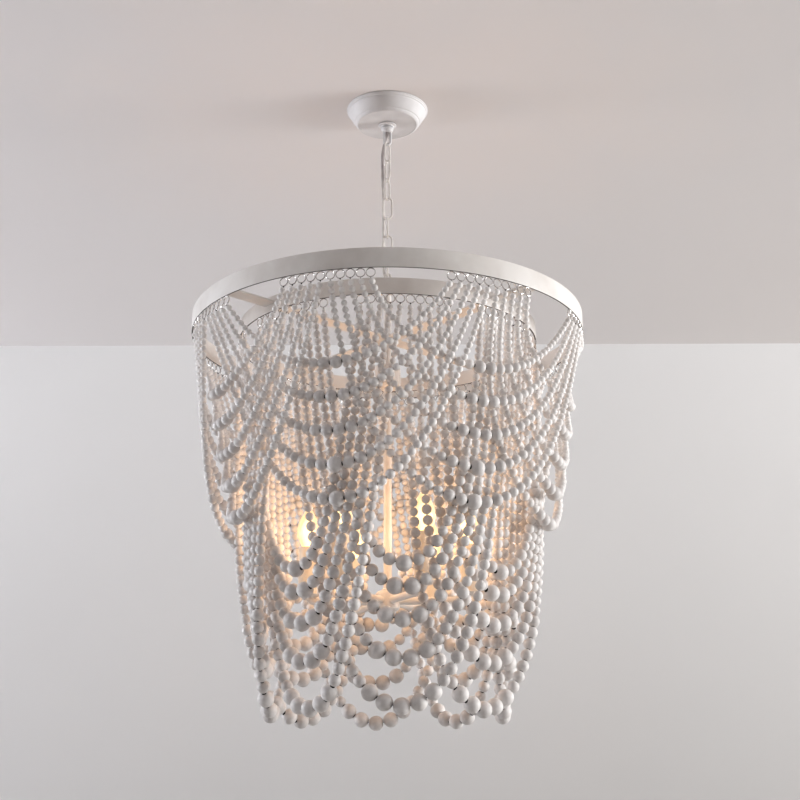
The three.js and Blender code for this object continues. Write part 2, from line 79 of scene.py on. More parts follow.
def place_camera():
    """The photograph's viewpoint, tilted up and a little to one side."""
    data = bpy.data.cameras.new("camera")
    data.lens = CAMERA_LENS
    camera = bpy.data.objects.new("camera", data)
    camera.location = CAMERA_PLACE
    tilt = Euler((CAMERA_PITCH, 0, 0)).to_matrix() @ Matrix.Rotation(CAMERA_ROLL, 3, "Z")
    camera.rotation_euler = tilt.to_euler()
    bpy.context.scene.collection.objects.link(camera)
    bpy.context.scene.camera = camera


# Mesh building

def new_piece(name, points, faces, material, smooth=True):
    """A mesh object with one material."""
    mesh = bpy.data.meshes.new(name)
    mesh.from_pydata([tuple(p) for p in points], [], [tuple(f) for f in faces])
    mesh.update()
    if smooth:
        mesh.shade_smooth()
        mesh.set_sharp_from_angle(angle=SHARP_EDGE)
    mesh.materials.append(material)
    piece = bpy.data.objects.new(name, mesh)
    bpy.context.scene.collection.objects.link(piece)
    return piece


def joined(parts):
    """Several (points, faces) as one."""
    points = []
    faces = []
    for part_points, part_faces in parts:
        start = len(points)
        points.extend(part_points)
        faces.extend(tuple(start + i for i in face) for face in part_faces)
    return points, faces


def softened(outline, radius, steps=4, closed=True):
    """The outline with each corner rounded."""
    result = []
    count = len(outline)
    for i, corner in enumerate(outline):
        if not closed and i in (0, count - 1):
            result.append(corner)
            continue
        here = Vector(corner)
        before = Vector(outline[i - 1]) - here
        after = Vector(outline[(i + 1) % count]) - here
        reach = min(radius, before.length * CORNER_SHARE, after.length * CORNER_SHARE)
        first = here + before.normalized() * reach
        last = here + after.normalized() * reach
        for k in range(steps + 1):
            t = k / steps
            result.append(tuple(first * (1 - t) ** 2 + here * 2 * t * (1 - t) + last * t * t))
    return result


def turned(outline, sides, closed=True):
    """A shape turned on a lathe from (radius, height) points. An open outline ends on the axis, or leaves
    the shape open."""
    points = []
    faces = []
    count = len(outline)
    for k in range(sides):
        angle = FULL_TURN * k / sides
        points.extend((r * math.cos(angle), r * math.sin(angle), z) for r, z in outline)
    rows = count if closed else count - 1
    for k in range(sides):
        this = k * count
        following = (k + 1) % sides * count
        for i in range(rows):
            j = (i + 1) % count
            faces.append((this + i, following + i, following + j, this + j))
    return points, faces


def lathed(outline, edge, sides, steps=4):
    """A shape turned from an open outline, with each corner softened in so many steps."""
    return turned(softened(outline, edge, steps, closed=False), sides, closed=False)


def swept(route, radius, sides, closed=False):
    """A round bar along a route. The radius is one value, or one for each point."""
    route = np.asarray(route, float)
    count = len(route)
    radii = np.broadcast_to(radius, count)
    if closed:
        tangents = np.roll(route, -1, axis=0) - np.roll(route, 1, axis=0)
    else:
        tangents = np.gradient(route, axis=0)
    tangents /= np.linalg.norm(tangents, axis=1)[:, None]
    side = np.cross(tangents[0], ODD_WAY)
    side /= np.linalg.norm(side)
    points = []
    faces = []
    for i in range(count):
        side = side - tangents[i] * (side @ tangents[i])
        side /= np.linalg.norm(side)
        other = np.cross(tangents[i], side)
        for k in range(sides):
            angle = FULL_TURN * k / sides
            points.append(route[i] + radii[i] * (math.cos(angle) * side + math.sin(angle) * other))
    for i in range(count if closed else count - 1):
        j = (i + 1) % count
        for k in range(sides):
            m = (k + 1) % sides
            faces.append((i * sides + k, i * sides + m, j * sides + m, j * sides + k))
    if not closed:
        faces.append(tuple(range(sides))[::-1])
        faces.append(tuple((count - 1) * sides + k for k in range(sides)))
    return points, faces


def moved(part, right=0.0, back=0.0, up=0.0, turn=0.0):
    """The part turned about the upright axis and then moved."""
    points, faces = part
    c = math.cos(turn)
    s = math.sin(turn)
    return [(c * x - s * y + right, s * x + c * y + back, z + up) for x, y, z in points], faces


def box_bar(length, width, height, edge):
    """A flat bar from the axis outwards along x, with rounded long edges, its top at zero."""
    half = width / 2
    section = softened([(-half, 0), (half, 0), (half, -height), (-half, -height)], edge, 3)
    count = len(section)
    points = [(0, y, z) for y, z in section] + [(length, y, z) for y, z in section]
    faces = [(i, (i + 1) % count, count + (i + 1) % count, count + i) for i in range(count)]
    faces.append(tuple(range(count))[::-1])
    faces.append(tuple(range(count, 2 * count)))
    return points, faces


# Materials

# Nearly all of a noise texture lies between these two
MOST_NOISE = (0.3, 0.7)
# How deep the pores and the orange peel of a paint are
FINE_RELIEF = 0.05 * MM


def linear(code):
    """An sRGB hex colour as the linear colour that a shader takes."""
    values = [int(code[i:i + 2], 16) / 255 for i in (1, 3, 5)]
    bent = [v / 12.92 if v <= 0.04045 else ((v + 0.055) / 1.055) ** 2.4 for v in values]
    return (*bent, 1.0)


def add_node(tree, kind, links=None, **settings):
    """Adds a node. A setting in lower case is the node's own, and any other is the value of that input."""
    node = tree.nodes.new(kind)
    for name, value in settings.items():
        if name in node.bl_rna.properties:
            setattr(node, name, value)
        else:
            node.inputs[name.replace("_", " ")].default_value = value
    for name, socket in (links or {}).items():
        tree.links.new(socket, node.inputs[name])
    return node


def new_finish(name, **values):
    """A material with one Principled shader, and its tree and shader."""
    material = bpy.data.materials.new(name)
    material.use_nodes = True
    tree = material.node_tree
    shader = tree.nodes["Principled BSDF"]
    for socket, value in values.items():
        shader.inputs[socket.replace("_", " ")].default_value = value
    return material, tree, shader


def place_of(tree):
    """Real place on the object, in metres."""
    return add_node(tree, "ShaderNodeTexCoord").outputs["Object"]


def two_colours(tree, factor, first, second):
    """A colour ramp from the first hex colour to the second."""
    ramp = add_node(tree, "ShaderNodeValToRGB", {"Fac": factor})
    ramp.color_ramp.elements[0].color = linear(first)
    ramp.color_ramp.elements[1].color = linear(second)
    return ramp


def coloured(tree, shader, factor, first, second):
    """Colours the finish between two hex colours, and gives the ramp."""
    ramp = two_colours(tree, factor, first, second)
    tree.links.new(ramp.outputs["Color"], shader.inputs["Base Color"])
    return ramp


def ranged(tree, value, low, high, to_low, to_high):
    """The value, spread from one range to another and kept inside it."""
    node = add_node(tree, "ShaderNodeMapRange", {"Value": value}, From_Min=low, From_Max=high,
                    To_Min=to_low, To_Max=to_high)
    return node.outputs["Result"]


def bumped(tree, shader, height, depth, strength=1.0):
    """Small relief in the finish, this deep."""
    bump = add_node(tree, "ShaderNodeBump", {"Height": height}, Strength=strength, Distance=depth)
    tree.links.new(bump.outputs["Normal"], shader.inputs["Normal"])


def powder_coat(name, light, dark, roughness, grain=1.2 * MM):
    """White powder coat or enamel on steel. It looks smooth and even, with a faint orange peel in its shine
    and slightly dirtier and rougher cloudy patches a few centimetres wide."""
    material, tree, shader = new_finish(name, Roughness=roughness, IOR=1.5)
    place = place_of(tree)
    patch = 45 * MM
    clouds = add_node(tree, "ShaderNodeTexNoise", {"Vector": place}, Scale=1 / patch, Detail=3.0)
    dirtiest, clean = coloured(tree, shader, clouds.outputs["Fac"], dark, light).color_ramp.elements
    dirtiest.position = 0.3
    clean.position = 0.62
    rough = ranged(tree, clouds.outputs["Fac"], *MOST_NOISE, roughness + 0.08, roughness - 0.05)
    tree.links.new(rough, shader.inputs["Roughness"])
    peel = add_node(tree, "ShaderNodeTexNoise", {"Vector": place}, Scale=1 / grain, Detail=2.0)
    bumped(tree, shader, peel.outputs["Fac"], FINE_RELIEF, 0.6)
    return material


def hoop_coat():
    """White powder coat on a flat hoop. Where the hoop's surface faces down, at its lower edge, the colour
    turns dark grey, a thin line of painted shade."""
    material = powder_coat("hoop_powder_coat", "#EBE7E3", "#DED8D3", 0.46)
    tree = material.node_tree
    shader = tree.nodes["Principled BSDF"]
    painted = shader.inputs["Base Color"].links[0].from_socket
    way = add_node(tree, "ShaderNodeTexCoord").outputs["Normal"]
    down = add_node(tree, "ShaderNodeSeparateXYZ", {"Vector": way}).outputs["Z"]
    # Painted shade: the faces that look down take a dark grey colour.
    edge_shade_part = ranged(tree, down, -0.55, -0.3, 1.0, 0.0)
    painted_edge_shade = add_node(tree, "ShaderNodeMix", {"Factor": edge_shade_part, "A": painted}, data_type="RGBA")
    painted_edge_shade.inputs["B"].default_value = linear("#4A4441")
    tree.links.new(painted_edge_shade.outputs["Result"], shader.inputs["Base Color"])
    return material


def zinc_plate():
    """Zinc-plated steel: a dull bluish grey metal with small crystals and soft cloudy shine."""
    material, tree, shader = new_finish("zinc_plated_steel", Metallic=1.0, Roughness=0.4)
    place = place_of(tree)
    crystals = add_node(tree, "ShaderNodeTexVoronoi", {"Vector": place}, Scale=1 / (3 * MM))
    coloured(tree, shader, crystals.outputs["Distance"], "#B9BCBE", "#9EA1A3")
    clouds = add_node(tree, "ShaderNodeTexNoise", {"Vector": place}, Scale=1 / (8 * MM))
    rough = ranged(tree, clouds.outputs["Fac"], *MOST_NOISE, 0.32, 0.5)
    tree.links.new(rough, shader.inputs["Roughness"])
    return material


def ring_wire():
    """Nickel-plated spring wire: thin bright rings, dark where they mirror the far side of the room."""
    material, tree, shader = new_finish("nickel_plated_wire", Metallic=1.0, Roughness=0.24)
    place = place_of(tree)
    scratches = add_node(tree, "ShaderNodeTexNoise", {"Vector": place}, Scale=1 / (1.5 * MM), Detail=4.0)
    coloured(tree, shader, scratches.outputs["Fac"], "#B9B6B3", "#DEDBD8")
    return material


def cable_sheath():
    """PVC cable sheath, translucent white, with a slow twist in it. Near the ceiling it is a soft greyish
    mauve of painted shade, which gets paler lower down."""
    material, tree, shader = new_finish("pvc_cable_sheath", Roughness=0.45, IOR=1.53)
    place = place_of(tree)
    twist = add_node(tree, "ShaderNodeTexWave", {"Vector": place}, bands_direction="Z", Scale=1 / (60 * MM),
                     Distortion=2.0)
    height = add_node(tree, "ShaderNodeSeparateXYZ", {"Vector": place}).outputs["Z"]
    # Painted shade: the sheath turns greyish mauve towards the ceiling.
    below_painted_shade = ranged(tree, height, -140 * MM, -90 * MM, 0.7, 0.0)
    sources = {0: twist.outputs["Fac"], 2: below_painted_shade}
    mixed = add_node(tree, "ShaderNodeMath", sources, operation="MULTIPLY_ADD")
    twist_share = mixed.inputs[1]
    twist_share.default_value = 0.3
    coloured(tree, shader, mixed.outputs["Value"], "#B7AEAF", "#DEDAD6")
    grain = add_node(tree, "ShaderNodeTexNoise", {"Vector": place}, Scale=1 / (0.8 * MM))
    bumped(tree, shader, grain.outputs["Fac"], 0.03 * MM)
    return material


# The tone that marks a bead's hole, whose near-black colour is painted shade, as against 0 to 1 for its
# paint from grey to white
HOLE_SHADE_TONE = -1.0


def painted_wood():
    """Turned wooden beads in matt white paint. Each bead is a little lighter or greyer than the next, and
    the large ones are greyer, with soft cloudy patches and small pores under the paint. The walls of the
    hole are near black, which is painted shade."""
    material, tree, shader = new_finish("matt_painted_wood", Roughness=0.5, IOR=1.45)
    place = place_of(tree)
    tone = add_node(tree, "ShaderNodeAttribute", attribute_name="bead_tone").outputs["Fac"]
    clouds = add_node(tree, "ShaderNodeTexNoise", {"Vector": place}, Scale=1 / (8 * MM), Detail=2.0)
    uneven = add_node(tree, "ShaderNodeMath", {0: clouds.outputs["Fac"], 2: tone}, operation="MULTIPLY_ADD")
    cloud_share = uneven.inputs[1]
    cloud_share.default_value = 0.6
    light = ranged(tree, uneven.outputs["Value"], 0.0, 1.5, 0.0, 1.0)
    colour = two_colours(tree, light, "#C2BDBB", "#FDFAF8")
    outside_hole_shade = ranged(tree, tone, -0.8, -0.1, 0.0, 1.0)
    # Painted shade: the hole's walls take a near-black colour.
    hole_shade = add_node(tree, "ShaderNodeMix", {"Factor": outside_hole_shade}, data_type="RGBA")
    hole_shade.inputs["A"].default_value = linear("#1A1615")
    tree.links.new(colour.outputs["Color"], hole_shade.inputs["B"])
    tree.links.new(hole_shade.outputs["Result"], shader.inputs["Base Color"])
    pores = add_node(tree, "ShaderNodeTexNoise", {"Vector": place}, Scale=1 / (1.2 * MM), Detail=3.0)
    bumped(tree, shader, pores.outputs["Fac"], FINE_RELIEF, 0.4)
    return material


def waxed_cord():
    """Black waxed cotton cord: nearly black and slightly shiny, with the slant of its twist."""
    material, tree, shader = new_finish("waxed_cotton_cord", Roughness=0.55)
    twist = add_node(tree, "ShaderNodeTexWave", {"Vector": place_of(tree)}, bands_direction="DIAGONAL",
                     Scale=1 / (2 * MM))
    coloured(tree, shader, twist.outputs["Fac"], "#1E1A19", "#3A3330")
    return material


def ivory_sleeve():
    """A pressed paper candle sleeve with an ivory coating: matt, faintly mottled and a little uneven."""
    material, tree, shader = new_finish("ivory_candle_sleeve", Roughness=0.6)
    place = place_of(tree)
    mottle = add_node(tree, "ShaderNodeTexNoise", {"Vector": place}, Scale=1 / (12 * MM), Detail=4.0)
    coloured(tree, shader, mottle.outputs["Fac"], "#E6DCCB", "#F3ECDF")
    bumped(tree, shader, mottle.outputs["Fac"], 0.3 * MM, 0.4)
    return material


def lit_glass():
    """Frosted glass with a warm lamp alight in it. It glows most in the middle, round the filament, and is
    amber towards the base and softer at its edges."""
    material, tree, shader = new_finish("lit_frosted_glass", Roughness=0.3)
    shader.inputs["Base Color"].default_value = linear("#FFE9CC")
    height = add_node(tree, "ShaderNodeSeparateXYZ", {"Vector": place_of(tree)}).outputs["Z"]
    low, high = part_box("bulb_1")
    glow = ranged(tree, height, low.z, high.z, 0.0, 1.0)
    colour = two_colours(tree, glow, "#FFC06E", "#FFE3A0")
    tree.links.new(colour.outputs["Color"], shader.inputs["Emission Color"])
    edge = add_node(tree, "ShaderNodeLayerWeight").outputs["Facing"]
    tree.links.new(ranged(tree, edge, 0.02, 0.32, 3.2, 0.6), shader.inputs["Emission Strength"])
    return material


def brass_cap():
    """The nickelled brass screw cap of a bulb: a warm grey metal, rubbed by the thread."""
    material, tree, shader = new_finish("nickelled_brass_cap", Metallic=1.0, Roughness=0.35)
    rub = add_node(tree, "ShaderNodeTexNoise", {"Vector": place_of(tree)}, Scale=1 / (2 * MM))
    coloured(tree, shader, rub.outputs["Fac"], "#B9AE98", "#D8D2C4")
    return material


CANOPY_PAINT = powder_coat("canopy_powder_coat", "#E4E3E5", "#D5D4D6", 0.52)
CHAIN_PAINT = powder_coat("chain_enamel", "#F0ECE8", "#D0CAC5", 0.26, 0.9 * MM)
FRAME_PAINT = powder_coat("spoke_powder_coat", "#EBE8E5", "#DEDAD6", 0.48)
HOOP_PAINT = hoop_coat()
STEM_PAINT = powder_coat("stem_powder_coat", "#EEEAE6", "#E0DBD6", 0.45)
ZINC = zinc_plate()
RING_WIRE = ring_wire()
CABLE = cable_sheath()
BEAD_WOOD = painted_wood()
BEAD_CORD = waxed_cord()
SLEEVE = ivory_sleeve()
BULB_GLASS = lit_glass()
BULB_CAP = brass_cap()


def dress(piece, body, slot, *nodes):
    """The piece rides on its body and stands for its nodes. The slot it is given is not used."""
    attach(piece, body)
    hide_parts(*nodes)


# Canopy, collar and loops

# The photographed canopy is this much wider and deeper than its solid
CANOPY_GROWTH = 1.2 * MM
CANOPY_DROP = 2.6 * MM
SHEET_METAL = 1.2 * MM
# The hole in the canopy's floor and in the collar, round the threaded tube
TUBE_HOLE = 5.4 * MM


def make_canopy():
    """A spun pan with two steps at its rim, straight sloping sides and a soft roll round its floor."""
    low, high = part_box("canopy")
    radius = high.x + CANOPY_GROWTH
    floor = low.z - CANOPY_DROP
    disc = 0.715 * radius
    dish = floor + 0.6 * MM
    outline = [
        (radius, 0),
        (radius, -1.8 * MM),
        (radius - 1.4 * MM, -2.6 * MM),
        (radius - 1.5 * MM, -4 * MM),
        (radius - 3.2 * MM, -5 * MM),
        (radius - 3.5 * MM, -6.6 * MM),
        (disc + 6.2 * MM, floor + 5.4 * MM),
        (disc + 5 * MM, floor + 5 * MM),
        (disc + 4 * MM, floor + 2.8 * MM),
        (disc + 2 * MM, floor + 0.6 * MM),
        (disc, floor),
        (disc - 1.2 * MM, dish),
        (TUBE_HOLE, dish),
        (TUBE_HOLE, dish + SHEET_METAL),
        (disc - 1.6 * MM, dish + SHEET_METAL),
        (disc + 3 * MM, floor + 4 * MM + SHEET_METAL),
        (disc + 6 * MM, floor + 7.4 * MM + SHEET_METAL),
        (radius - 6 * MM, -8 * MM + SHEET_METAL),
        (radius - 3.2 * MM, -4.2 * MM),
        (radius - SHEET_METAL, -1.5 * MM),
        (radius - SHEET_METAL, 0),
    ]
    piece = new_piece("canopy_pan", *turned(softened(outline, 0.9 * MM), 96), CANOPY_PAINT)
    dress(piece, "ceiling_body", "canopy_paint", "canopy")


def make_collar():
    """The flange that holds the canopy up, and the short neck under it."""
    low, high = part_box("screw_collar")
    radius = high.x
    top = high.z - CANOPY_DROP
    bottom = low.z - 1 * MM
    outline = [
        (TUBE_HOLE, top),
        (radius, top),
        (radius, top - 1.5 * MM),
        (radius - 1.3 * MM, top - 2.2 * MM),
        (10.8 * MM, top - 2.6 * MM),
        (10.2 * MM, bottom),
        (TUBE_HOLE, bottom),
    ]
    piece = new_piece("screw_collar_fine", *turned(softened(outline, 0.7 * MM), 64), CANOPY_PAINT)
    dress(piece, "ceiling_body", "canopy_paint", "screw_collar")


LOOP_WIRE = 3.8 * MM
LOOP_WIDTH = 14 * MM
LOOP_HEIGHT = 28 * MM
# From the flat end of a loop's neck to the near end of the loop, which starts inside the neck
LOOP_START = 5 * MM
# The sides of a cast loop are thicker than its ends by this much
LOOP_SIDE = 0.4 * MM


def oval(width, height, steps):
    """Points round an oval of two half circles and two straight sides, in the x z plane. Its middle is at
    zero."""
    radius = width / 2
    rise = height / 2 - radius
    points = []
    for k in range(steps):
        angle = FULL_TURN * (k + 0.5) / steps
        lift = rise if math.sin(angle) > 0 else -rise
        points.append((radius * math.cos(angle), 0, radius * math.sin(angle) + lift))
    return points


def loop_fitting(flat_end, direction):
    """A cast loop on its neck, from the height of the neck's flat end. Its direction is -1 where it hangs
    down from there and 1 where it stands up."""
    neck = 10 * MM
    outline = [
        (4 * MM, 1.2 * MM),
        (neck - 1.2 * MM, 1.2 * MM),
        (neck, 2 * MM),
        (neck, 4.6 * MM),
        (neck - 0.8 * MM, 5.2 * MM),
        (neck - 2.6 * MM, 8.4 * MM),
        (neck - 6 * MM, 9.6 * MM),
        (3.8 * MM, 9.6 * MM),
        (3.8 * MM, 4 * MM),
    ]
    outline = [(r, flat_end + direction * z) for r, z in softened(outline, 0.7 * MM, closed=False)]
    bell = turned(outline, 48, closed=False)
    route = oval(LOOP_WIDTH - LOOP_WIRE, LOOP_HEIGHT - LOOP_WIRE, 56)
    thick = [LOOP_WIRE / 2 + LOOP_SIDE * (2 * x / LOOP_WIDTH) ** 4 for x, _, _ in route]
    middle = flat_end + direction * (LOOP_START + LOOP_HEIGHT / 2)
    loop = swept([(x, y, z + middle) for x, y, z in route], thick, 16, closed=True)
    return joined([bell, loop])


def make_loops():
    """The loop under the canopy and the one on top of the stem."""
    collar_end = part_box("screw_collar")[0].z - TOUCHING
    upper = new_piece("upper_loop", *loop_fitting(collar_end, -1), CANOPY_PAINT)
    dress(upper, "ceiling_body", "canopy_paint", "canopy_loop")
    stem_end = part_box("stem_loop")[1].z - (LOOP_HEIGHT + LOOP_START)
    lower = new_piece("lower_loop", *loop_fitting(stem_end, 1), STEM_PAINT)
    dress(lower, "fixture_body", "stem_paint", "stem_loop")


# Chain

# How far each link is turned about the upright axis, in degrees
LINK_TURNS = [60, 117, 63, 0, 90, 0, 90]
LINK_WIDTH = 17.5 * MM
LINK_WIRE = 3 * MM
# The butt weld of a link: half its length, and how much thicker than the wire it is
WELD_REACH = 1.1 * MM
WELD_SWELL = 0.16


def chain_link(length):
    """An oval link bent from round wire, its butt joint welded on one long side."""
    route = oval(LINK_WIDTH - LINK_WIRE, length - LINK_WIRE, 64)
    radii = []
    for x, _, z in route:
        near = math.exp(-(z / WELD_REACH) ** 2) if x > 0 else 0
        radii.append(LINK_WIRE / 2 * (1 + WELD_SWELL * near))
    return swept(route, radii, 14, closed=True)


def make_chain():
    """Seven links, each on its own body and turned as in the photograph."""
    low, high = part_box("chain_link_1")
    link = chain_link(high.z - low.z)
    for k, turn in enumerate(LINK_TURNS):
        node = f"chain_link_{k + 1}"
        low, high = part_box(node)
        placed = moved(link, up=(low.z + high.z) / 2, turn=math.radians(turn))
        piece = new_piece(f"{node}_wire", *placed, CHAIN_PAINT)
        dress(piece, f"link_body_{k + 1}", "chain_paint", node)


# Supply cable

CABLE_RADIUS = 2.5 * MM
# The points that the cable follows, listed in millimetres
CABLE_ROUTE = [
    (0, 0, -12),
    (0, 0, -34),
    (-0.2, 0.5, -41),
    (-1.5, 4.6, -48),
    (-5, 8.6, -58),
    (-8, 9.2, -76),
    (-8, 8.8, -110),
    (-7, 7.4, -150),
    (-6.2, 6.6, -190),
    (-6.2, 6.2, -230),
    (-6.4, 6.8, -262),
    (-5.6, 8.6, -282),
    (-3.8, 7.6, -292),
    (-1.5, 4.2, -300),
    (-0.2, 0.5, -307),
    (0, 0, -313),
    (0, 0, -334),
]


def smooth_route(points, steps):
    """A smooth curve through the points, with the same number of steps between each two."""
    points = np.asarray(points, float)
    padded = np.vstack([2 * points[0] - points[1], points, 2 * points[-1] - points[-2]])
    result = []
    for i in range(1, len(padded) - 2):
        a, b, c, d = padded[i - 1:i + 3]
        for t in np.arange(steps) / steps:
            result.append(0.5 * (2 * b + (c - a) * t + (2 * a - 5 * b + 4 * c - d) * t ** 2
                                 + (3 * b - a - 3 * c + d) * t ** 3))
    result.append(padded[-2])
    return np.array(result)


def cut_at(route, heights):
    """The route as stretches that meet at these heights, from the top down."""
    stretches = []
    edges = [route[0, 2], *heights, route[-1, 2]]
    level = route[:, 2]
    for upper, lower in zip(edges, edges[1:]):
        inside = route[(level < upper - SAME_PLACE) & (level > lower + SAME_PLACE)]
        ends = []
        for height in (upper, lower):
            x, y = (np.interp(-height, -level, route[:, axis]) for axis in (0, 1))
            ends.append((x, y, height))
        stretches.append(np.vstack([ends[0], inside, ends[1]]))
    return stretches


def make_cable():
    """The cable as one stretch round each joint of the chain, cut halfway between the joints."""
    route = smooth_route(np.array(CABLE_ROUTE) * MM, 8)
    joints = frame["joints"]
    levels = [joint["pos_m"][2] for joint in joints]
    middles = [(a + b) / 2 for a, b in zip(levels, levels[1:])]
    for k, stretch in enumerate(cut_at(route, middles)):
        piece = new_piece(f"supply_cable_{k + 1}", *swept(stretch, CABLE_RADIUS, 16), CABLE)
        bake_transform(piece)
        if k == 0:
            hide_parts("supply_cable")


# Stem and hoops

STEM_RADIUS = 6 * MM
HOOP_WALL = 2.5 * MM
SPOKE_WIDTH = 25 * MM
SPOKE_THICKNESS = 3 * MM
SPOKE_TURN = math.radians(-47)
SPOKE_HUB_RADIUS = 22 * MM
# How far a turned piece stays clear of the stem that runs through it
STEM_CLEARANCE = 0.1 * MM


def make_stem():
    """The centre tube, from the lower loop to the lamp hub, with a ferrule at its foot."""
    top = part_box("stem_loop")[0].z
    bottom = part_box("lamp_hub")[1].z
    outline = [
        (STEM_RADIUS, bottom),
        (STEM_RADIUS, top - 1 * MM),
        (STEM_RADIUS - 0.8 * MM, top + 0.2 * MM),
    ]
    tube = lathed(outline, 0.6 * MM, 48)
    bore = STEM_RADIUS + STEM_CLEARANCE
    ferrule_radius = STEM_RADIUS + 2.6 * MM
    ferrule_outline = [
        (bore, bottom),
        (ferrule_radius, bottom),
        (ferrule_radius, bottom + 3 * MM),
        (bore, bottom + 5 * MM),
    ]
    ferrule = turned(softened(ferrule_outline, 0.6 * MM), 48)
    piece = new_piece("stem_tube", *joined([tube, ferrule]), STEM_PAINT)
    dress(piece, "fixture_body", "stem_paint", "stem")


def make_hoop(node, sides):
    """A flat band rolled to a hoop, with soft edges."""
    low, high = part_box(node)
    radius = high.x
    inner = radius - HOOP_WALL
    outline = [(radius, high.z), (radius, low.z), (inner, low.z), (inner, high.z)]
    piece = new_piece(f"{node}_band", *turned(softened(outline, 0.9 * MM), sides), HOOP_PAINT)
    dress(piece, "fixture_body", "frame_paint", node)


def make_spokes():
    """Four flat bars from a round hub to the outer hoop."""
    low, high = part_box("spoke_frame")
    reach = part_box("outer_hoop")[1].x - HOOP_WALL
    bar = box_bar(reach, SPOKE_WIDTH, SPOKE_THICKNESS, 0.9 * MM)
    parts = [moved(bar, up=high.z, turn=SPOKE_TURN + k * FULL_TURN / 4) for k in range(4)]
    bore = STEM_RADIUS + 2 * STEM_CLEARANCE
    top = high.z + 0.2 * MM
    bottom = low.z - 0.2 * MM
    hub_outline = [(bore, top), (SPOKE_HUB_RADIUS, top), (SPOKE_HUB_RADIUS, bottom), (bore, bottom)]
    parts.append(turned(softened(hub_outline, 0.8 * MM), 64))
    piece = new_piece("spoke_cross", *joined(parts), FRAME_PAINT)
    dress(piece, "fixture_body", "frame_paint", "spoke_frame")


def drum_outline(node, bore):
    """The outline of a short round drum with bevelled edges, which fills its node's box."""
    low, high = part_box(node)
    radius = high.x
    bevel = 3 * MM
    return [
        (bore, high.z),
        (radius - bevel, high.z),
        (radius, high.z - bevel),
        (radius, low.z + bevel),
        (radius - bevel, low.z),
        (bore, low.z),
    ]


def make_cup():
    """The cup on the stem in which the lamp wires are joined."""
    outline = softened(drum_outline("wiring_cup", STEM_RADIUS + STEM_CLEARANCE), 1.6 * MM)
    piece = new_piece("wiring_cup_fine", *turned(outline, 64), STEM_PAINT)
    dress(piece, "fixture_body", "stem_paint", "wiring_cup")


# Lamps

LAMP_COUNT = 6
ARM_TURN = math.radians(26)
ARM_REACH = 118 * MM
ARM_RADIUS = 5.5 * MM
ARM_BEND = 14 * MM
SLEEVE_RADIUS = 14 * MM
SLEEVE_WALL = 1.5 * MM
# The lampholder ends this far under the top of its sleeve
HOLDER_SUNK = 5 * MM
HOLDER_RADIUS = 11 * MM
PAN_DEPTH = 5 * MM
BULB_RADIUS = 17.5 * MM
# The bulb's glass starts this far under the top of the sleeve
BULB_SUNK = 2 * MM
BULB_CAP_RADIUS = 7.6 * MM
BULB_CAP_HEIGHT = 2.8 * MM
BULB_POWER = 0.19
FILAMENT_SIZE = 12 * MM


def make_hub():
    """The drum at the stem's foot that the arms come out of, and the turned cap under it."""
    drum = lathed(drum_outline("lamp_hub", 0), 1.4 * MM, 64)
    piece = new_piece("lamp_hub_fine", *drum, STEM_PAINT)
    dress(piece, "fixture_body", "stem_paint", "lamp_hub")
    low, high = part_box("hub_cap")
    wide = high.x
    tall = high.z - low.z
    cap_outline = [
        (0, high.z),
        (wide, high.z),
        (wide, high.z - 0.22 * tall),
        (wide * 0.62, high.z - 0.42 * tall),
        (wide * 0.34, high.z - 0.5 * tall),
        (wide * 0.36, high.z - 0.8 * tall),
        (wide * 0.2, low.z),
        (0, low.z),
    ]
    cap = lathed(cap_outline, 1.2 * MM, 48)
    cap_piece = new_piece("hub_cap_fine", *cap, STEM_PAINT)
    dress(cap_piece, "fixture_body", "stem_paint", "hub_cap")


def lamp_place(number):
    """How far a lamp stands to the right and to the back, and how far its arm is turned."""
    turn = ARM_TURN + (number - 1) * FULL_TURN / LAMP_COUNT
    return ARM_REACH * math.sin(turn), -ARM_REACH * math.cos(turn), turn


def bent_tube(turn, end_level):
    """An arm's tube, straight out of the hub and then bent up to its drip pan."""
    hub_low, hub_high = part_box("lamp_hub")
    level = (hub_low.z + hub_high.z) / 2
    bend_start = ARM_REACH - ARM_BEND
    route = [(hub_high.x - 1 * MM, 0, level), (bend_start, 0, level)]
    steps = 8
    for k in range(1, steps + 1):
        angle = k / steps * math.pi / 2
        route.append((bend_start + ARM_BEND * math.sin(angle), 0, level + ARM_BEND * (1 - math.cos(angle))))
    route.append((ARM_REACH, 0, max(end_level, level + ARM_BEND + 1 * MM)))
    return moved(swept(route, ARM_RADIUS, 20), turn=turn - math.pi / 2)


def drip_pan(top):
    """A shallow dish with a rolled rim."""
    outline = [
        (0, top),
        (12.6 * MM, top),
        (15 * MM, top + 0.6 * MM),
        (17.4 * MM, top + 0.2 * MM),
        (18 * MM, top - 0.4 * MM),
        (17 * MM, top - 1.6 * MM),
        (10 * MM, top - 4.4 * MM),
        (7.4 * MM, top - PAN_DEPTH),
        (0, top - PAN_DEPTH),
    ]
    return lathed(outline, 0.6 * MM, 56)


def make_arm(number):
    """An arm with its drip pan, and the lampholder that stands on the pan inside the sleeve."""
    right, back, turn = lamp_place(number)
    sleeve_low, sleeve_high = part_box(f"candle_sleeve_{number}")
    pan_top = sleeve_low.z
    holder_top = sleeve_high.z - HOLDER_SUNK
    holder_outline = [(0, holder_top), (HOLDER_RADIUS, holder_top), (HOLDER_RADIUS, pan_top), (0, pan_top)]
    holder = lathed(holder_outline, 1 * MM, 40)
    parts = [bent_tube(turn, pan_top), moved(drip_pan(pan_top), right, back), moved(holder, right, back)]
    piece = new_piece(f"lamp_arm_{number}_tube", *joined(parts), STEM_PAINT)
    dress(piece, "fixture_body", "stem_paint", f"lamp_arm_{number}")


